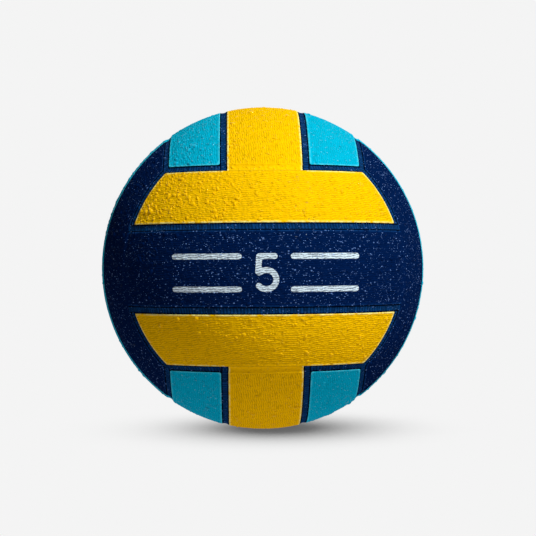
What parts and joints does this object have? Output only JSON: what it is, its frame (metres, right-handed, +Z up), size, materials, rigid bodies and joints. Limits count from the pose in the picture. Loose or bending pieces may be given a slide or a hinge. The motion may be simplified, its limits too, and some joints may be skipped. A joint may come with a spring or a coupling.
{
  "type": "water polo ball",
  "caption": "Rubber water polo ball with ribbed colour strips divided by sunken seams, over a thread-wound bladder with a needle valve.",
  "frame": {"origin": "centre of the ball", "axes": "+Z up through the middle of the top face, -Y out through the middle of the front face, +Y out along the valve's needle hole"},
  "size_m": [0.22, 0.2199, 0.22],
  "materials": {
    "yellow_panel_rubber": "satin",
    "navy_panel_rubber": "satin",
    "cyan_panel_rubber": "satin",
    "base_rubber": "satin",
    "nylon_thread": "matte",
    "bladder_rubber": "matte",
    "valve_rubber": "matte",
    "plug_rubber": "matte"
  },
  "bodies": {
    "root": {"front_lower_panel": "yellow_panel_rubber", "front_centre_panel": "navy_panel_rubber", "front_upper_panel": "yellow_panel_rubber", "back_lower_panel": "yellow_panel_rubber", "back_centre_panel": "navy_panel_rubber", "back_upper_panel": "yellow_panel_rubber", "bottom_left_panel": "cyan_panel_rubber", "bottom_centre_panel": "yellow_panel_rubber", "bottom_right_panel": "cyan_panel_rubber", "top_left_panel": "cyan_panel_rubber", "top_centre_panel": "yellow_panel_rubber", "top_right_panel": "cyan_panel_rubber", "left_front_panel": "navy_panel_rubber", "left_centre_panel": "cyan_panel_rubber", "left_back_panel": "navy_panel_rubber", "right_front_panel": "navy_panel_rubber", "right_centre_panel": "cyan_panel_rubber", "right_back_panel": "navy_panel_rubber", "cover_base": "base_rubber", "nylon_winding": "nylon_thread", "bladder": "bladder_rubber", "valve_housing": "valve_rubber", "valve_plug": "plug_rubber"}
  },
  "joints": []
}
